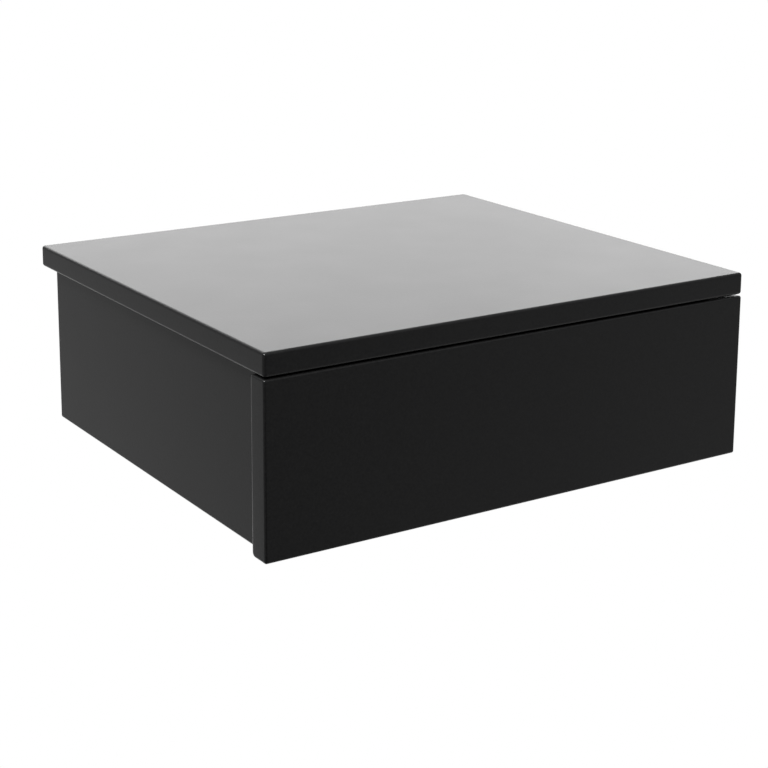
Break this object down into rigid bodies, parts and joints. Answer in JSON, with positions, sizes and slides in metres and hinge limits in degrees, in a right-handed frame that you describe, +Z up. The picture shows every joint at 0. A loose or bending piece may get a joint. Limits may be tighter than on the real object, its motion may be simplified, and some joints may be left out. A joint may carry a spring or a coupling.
{
  "type": "wall-hung bedside cabinet",
  "caption": "Floating bedside cabinet in satin black lacquer: overhanging top, side panels set in, and one full-width handle-less drawer on full-extension runners.",
  "frame": {"origin": "middle of the cabinet's box in plan, on the level of the side panels' bottom edges", "axes": "+X to the right as seen from the front, along the width; +Y from the drawer front to the wall; +Z up"},
  "size_m": [0.37, 0.325, 0.13],
  "materials": {
    "black_lacquer": "satin black lacquer on smooth board",
    "black_foil_board": "matt black foil on board",
    "zinc_plated_steel": "bright zinc plating",
    "cast_zinc": "as cast, dull",
    "black_plastic": "moulded, satin",
    "bumper_rubber": "matt",
    "beech": "bare fluted dowel"
  },
  "bodies": {
    "cabinet": {"back_panel": "black_lacquer", "bottom_panel": "black_foil_board", "left_back_cam": "cast_zinc", "left_back_cam_bolt": "zinc_plated_steel", "left_back_dowel": "beech", "left_bumper": "bumper_rubber", "left_cabinet_rail": "zinc_plated_steel", "left_cabinet_rail_front_screw": "zinc_plated_steel", "left_cabinet_rail_rear_screw": "zinc_plated_steel", "left_front_top_cam": "cast_zinc", "left_front_top_cam_bolt": "zinc_plated_steel", "left_hanger_inner_screw": "zinc_plated_steel", "left_hanger_outer_screw": "zinc_plated_steel", "left_hanger_plate": "zinc_plated_steel", "left_rear_top_cam": "cast_zinc", "left_rear_top_cam_bolt": "zinc_plated_steel", "left_side_panel": "black_lacquer", "right_back_cam": "cast_zinc", "right_back_cam_bolt": "zinc_plated_steel", "right_back_dowel": "beech", "right_bumper": "bumper_rubber", "right_cabinet_rail": "zinc_plated_steel", "right_cabinet_rail_front_screw": "zinc_plated_steel", "right_cabinet_rail_rear_screw": "zinc_plated_steel", "right_front_top_cam": "cast_zinc", "right_front_top_cam_bolt": "zinc_plated_steel", "right_hanger_inner_screw": "zinc_plated_steel", "right_hanger_outer_screw": "zinc_plated_steel", "right_hanger_plate": "zinc_plated_steel", "right_rear_top_cam": "cast_zinc", "right_rear_top_cam_bolt": "zinc_plated_steel", "right_side_panel": "black_lacquer", "top_panel": "black_lacquer"},
    "drawer": {"drawer_back": "black_foil_board", "drawer_bottom": "black_foil_board", "drawer_front": "black_lacquer", "left_drawer_back_lower_screw": "zinc_plated_steel", "left_drawer_back_upper_screw": "zinc_plated_steel", "left_drawer_rail": "zinc_plated_steel", "left_drawer_rail_front_screw": "zinc_plated_steel", "left_drawer_rail_rear_screw": "zinc_plated_steel", "left_drawer_side": "black_foil_board", "left_front_cam": "cast_zinc", "left_front_cam_bolt": "zinc_plated_steel", "right_drawer_back_lower_screw": "zinc_plated_steel", "right_drawer_back_upper_screw": "zinc_plated_steel", "right_drawer_rail": "zinc_plated_steel", "right_drawer_rail_front_screw": "zinc_plated_steel", "right_drawer_rail_rear_screw": "zinc_plated_steel", "right_drawer_side": "black_foil_board", "right_front_cam": "cast_zinc", "right_front_cam_bolt": "zinc_plated_steel"},
    "left_middle": {"left_middle_rail": "zinc_plated_steel"},
    "left_outer_cage": {"left_outer_ball_cage": "zinc_plated_steel"},
    "left_inner_cage": {"left_inner_ball_cage": "zinc_plated_steel"},
    "left_lever": {"left_release_lever": "black_plastic"},
    "right_middle": {"right_middle_rail": "zinc_plated_steel"},
    "right_outer_cage": {"right_outer_ball_cage": "zinc_plated_steel"},
    "right_inner_cage": {"right_inner_ball_cage": "zinc_plated_steel"},
    "right_lever": {"right_release_lever": "black_plastic"}
  },
  "joints": [
    {"name": "drawer_slide", "type": "slide", "parent": "cabinet", "child": "drawer", "axis": [0, -1, 0], "range_m": [0, 0.25]},
    {"name": "left_middle_slide", "type": "slide", "parent": "cabinet", "child": "left_middle", "axis": [0, -1, 0], "range_m": [0, 0.125]},
    {"name": "left_outer_cage_slide", "type": "slide", "parent": "cabinet", "child": "left_outer_cage", "axis": [0, -1, 0], "range_m": [0, 0.0625]},
    {"name": "left_inner_cage_slide", "type": "slide", "parent": "cabinet", "child": "left_inner_cage", "axis": [0, -1, 0], "range_m": [0, 0.1875]},
    {"name": "left_lever_pivot", "type": "hinge", "parent": "drawer", "child": "left_lever", "pos_m": [-0.1508, -0.03, 0.058], "axis": [1, 0, 0], "range_deg": [0, 5], "stiffness_Nm_per_rad": 0.02},
    {"name": "right_middle_slide", "type": "slide", "parent": "cabinet", "child": "right_middle", "axis": [0, -1, 0], "range_m": [0, 0.125]},
    {"name": "right_outer_cage_slide", "type": "slide", "parent": "cabinet", "child": "right_outer_cage", "axis": [0, -1, 0], "range_m": [0, 0.0625]},
    {"name": "right_inner_cage_slide", "type": "slide", "parent": "cabinet", "child": "right_inner_cage", "axis": [0, -1, 0], "range_m": [0, 0.1875]},
    {"name": "right_lever_pivot", "type": "hinge", "parent": "drawer", "child": "right_lever", "pos_m": [0.1508, -0.03, 0.058], "axis": [-1, 0, 0], "range_deg": [0, 5], "stiffness_Nm_per_rad": 0.02}
  ],
  "couplings": [
    {"joint": "left_middle_slide", "follows": "drawer_slide", "ratio": 0.5},
    {"joint": "left_outer_cage_slide", "follows": "drawer_slide", "ratio": 0.25},
    {"joint": "left_inner_cage_slide", "follows": "drawer_slide", "ratio": 0.75},
    {"joint": "right_middle_slide", "follows": "drawer_slide", "ratio": 0.5},
    {"joint": "right_outer_cage_slide", "follows": "drawer_slide", "ratio": 0.25},
    {"joint": "right_inner_cage_slide", "follows": "drawer_slide", "ratio": 0.75}
  ]
}
